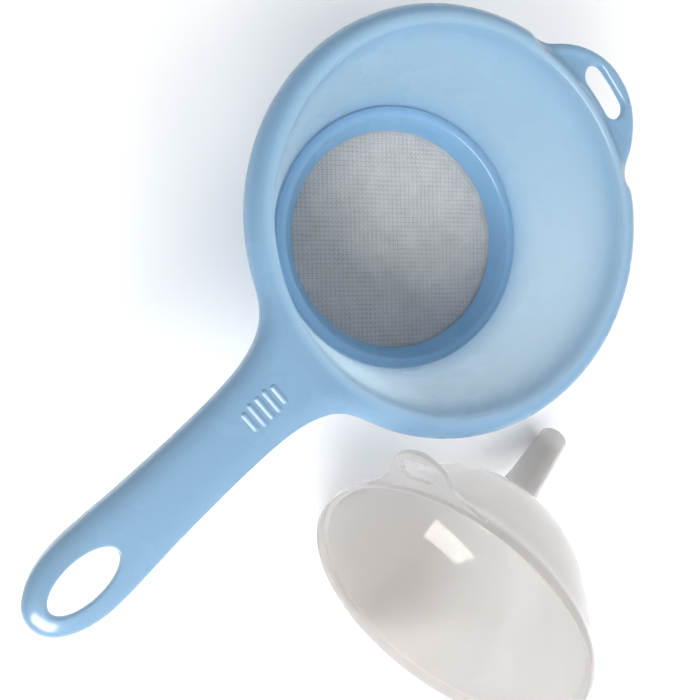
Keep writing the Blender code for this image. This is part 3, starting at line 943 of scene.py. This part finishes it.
def floor_material():
    """A matt, pale table top."""
    nodes = Nodes("pale_table")
    color = nodes.ramp(nodes.noise(3.0), FLOOR_CLOUD)
    nodes.join(color, nodes.shader.inputs["Base Color"])
    nodes.bump([(nodes.noise(300.0), 0.00002)])
    nodes.settings(Roughness=0.6)
    return nodes.material


# ---------------------------------------------------------------- stage


def make_floor():
    """A square table top of a few tiles, just under the object."""
    grid = np.linspace(-FLOOR_HALF, FLOOR_HALF, FLOOR_TILES + 1)
    points = [(x, y, FLOOR_HEIGHT) for y in grid for x in grid]
    across = FLOOR_TILES + 1
    corners = [row * across + column for row in range(FLOOR_TILES) for column in range(FLOOR_TILES)]
    faces = [(i, i + 1, i + across + 1, i + across) for i in corners]
    floor = new_object("table_top", points, faces, smooth=False)
    floor.data.materials.append(floor_material())


def make_camera():
    """Looks down on the object from above the handle's side."""
    camera = bpy.data.cameras.new("camera")
    camera.lens, camera.sensor_width = CAMERA_LENS, CAMERA_SENSOR
    camera.clip_start, camera.clip_end = 0.01, 20.0
    obj = bpy.data.objects.new("camera", camera)
    turn = Euler([math.radians(angle) for angle in CAMERA_TURN])
    obj.matrix_world = Matrix.LocRotScale(Vector(CAMERA_PLACE), turn, None)
    bpy.context.scene.collection.objects.link(obj)
    bpy.context.scene.camera = obj


def area_light(name, place, aim, size, power, color=(1.0, 1.0, 1.0)):
    """A rectangular light at a place, turned to its aim."""
    light = bpy.data.lights.new(name, "AREA")
    light.shape = "RECTANGLE"
    light.size, light.size_y = size
    light.energy = power
    light.color = color
    obj = bpy.data.objects.new(name, light)
    direction = Vector(aim) - Vector(place)
    turn = direction.to_track_quat("-Z", "Y").to_matrix().to_4x4()
    obj.matrix_world = Matrix.Translation(place) @ turn
    bpy.context.scene.collection.objects.link(obj)
    return obj


def make_world():
    """An even studio, with a darker card low on its +Y side."""
    world = bpy.data.worlds.new("studio")
    bpy.context.scene.world = world
    world.use_nodes = True
    tree = world.node_tree
    sky = tree.nodes["Background"]
    sky.inputs["Color"].default_value = SKY_COLOR
    direction = tree.nodes.new("ShaderNodeTexCoord").outputs["Generated"]
    facing = tree.nodes.new("ShaderNodeVectorMath")
    facing.operation = "DOT_PRODUCT"
    facing.inputs[1].default_value = CARD_SIDE
    tree.links.new(direction, facing.inputs[0])
    shade = tree.nodes.new("ShaderNodeMapRange")
    for name, value in CARD_EDGE.items():
        shade.inputs[name].default_value = value
    tree.links.new(facing.outputs["Value"], shade.inputs["Value"])
    tree.links.new(shade.outputs["Result"], sky.inputs["Strength"])


def make_lights():
    """A broad light above, and a window whose mirror image is brighter than its light."""
    overhead = area_light("overhead", **OVERHEAD, power=OVERHEAD_POWER)
    overhead.visible_glossy = False
    azimuth, elevation = math.radians(WINDOW_AZIMUTH), math.radians(WINDOW_ELEVATION)
    level = WINDOW_AWAY * math.cos(elevation)
    place = (level * math.cos(azimuth), level * math.sin(azimuth), WINDOW_AWAY * math.sin(elevation))
    area_light("window", place, WINDOW_AIM, WINDOW_SIZE, WINDOW_POWER, WINDOW_COLOR)
    pane = area_light("window_glint", place, WINDOW_AIM, WINDOW_SIZE, GLINT_POWER)
    pane.visible_diffuse = pane.visible_transmission = False


def finish_piece(piece, body, slot, material, *nodes):
    """Gives a piece its material and its body, and hides the CAD nodes that it stands for; its finish, the
    slot, is not used.
    """
    piece.data.materials.clear()
    piece.data.materials.append(material)
    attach(piece, body)
    if nodes:
        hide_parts(*nodes)


def main():
    """Makes the materials and pieces, and then the studio round them."""
    blue, clear = blue_plastic(), clear_plastic()
    fine_steel = steel_wire("fine_steel_wire", *FINE_STEEL)
    coarse_steel = steel_wire("coarse_steel_wire", *COARSE_STEEL)

    finish_piece(make_strainer_body(), "strainer", "blue_plastic", blue, "strainer_body")
    ring = lathe_piece("sieve_frame_moulding", rounded_closed(FRAME_OUTLINE), strainer_point)
    finish_piece(ring, "sieve_unit", "blue_plastic", blue, "sieve_frame")
    ring = lathe_piece("mesh_retainer_ring", rounded_closed(RETAINER_OUTLINE, 3), strainer_point)
    finish_piece(ring, "sieve_unit", "blue_plastic", blue, "mesh_retainer")
    for along_x, way in ((True, "warp"), (False, "weft")):
        cloth = make_weave(f"fine_cloth_{way}", FINE_WEAVE, along_x)
        finish_piece(cloth, "sieve_unit", "steel_wire", fine_steel, "fine_mesh")
        cloth = make_weave(f"coarse_cloth_{way}", COARSE_WEAVE, along_x)
        finish_piece(cloth, "sieve_unit", "steel_wire", coarse_steel, "coarse_mesh")
    funnel = make_funnel()
    unite(funnel, make_funnel_ear())
    finish_piece(funnel, "funnel", "clear_plastic", clear, "funnel")

    make_floor()
    make_camera()
    make_world()
    make_lights()
    bpy.context.scene.view_settings.view_transform = "Standard"


main()
